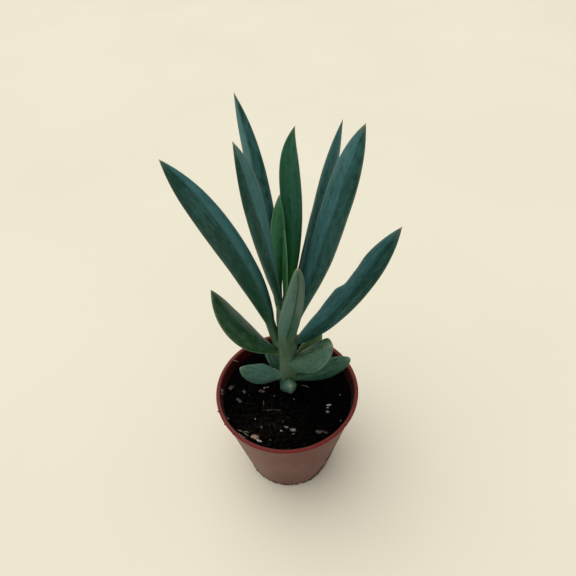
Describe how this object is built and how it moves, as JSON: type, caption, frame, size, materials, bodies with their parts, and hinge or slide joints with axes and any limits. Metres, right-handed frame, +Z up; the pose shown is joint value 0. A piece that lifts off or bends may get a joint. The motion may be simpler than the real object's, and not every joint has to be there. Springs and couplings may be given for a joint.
{
  "type": "potted senecio",
  "caption": "Young upright senecio succulent with long pointed blue-green leaves on one stem, rooted in dark soil in a small red plastic nursery pot.",
  "frame": {"origin": "centre of the pot's flat base, on the surface that it stands on", "axes": "+Z up along the pot's axis and the stem, +X to the viewer's right and -Y towards the viewer of the picture"},
  "size_m": [0.0684, 0.055, 0.1584],
  "materials": {
    "pot": "satin",
    "soil": "matte",
    "stem": "satin",
    "upper_leaf": "satin",
    "young_leaf": "satin",
    "lower_leaf": "satin"
  },
  "bodies": {
    "root": {"pot": "pot", "soil": "soil", "stem": "stem", "leaf_far_left": "upper_leaf", "leaf_upright_left": "upper_leaf", "leaf_tallest": "upper_leaf", "leaf_inner": "young_leaf", "leaf_innermost": "young_leaf", "leaf_centre_back": "upper_leaf", "leaf_back_right": "upper_leaf", "leaf_tall_right": "upper_leaf", "leaf_right": "upper_leaf", "leaf_left": "lower_leaf", "leaf_front": "lower_leaf", "leaf_front_right": "lower_leaf", "leaf_low_right": "lower_leaf", "leaf_low_left": "lower_leaf", "leaf_low_back_left": "lower_leaf", "leaf_low_back_right": "lower_leaf", "leaf_low_front": "lower_leaf"}
  },
  "joints": []
}
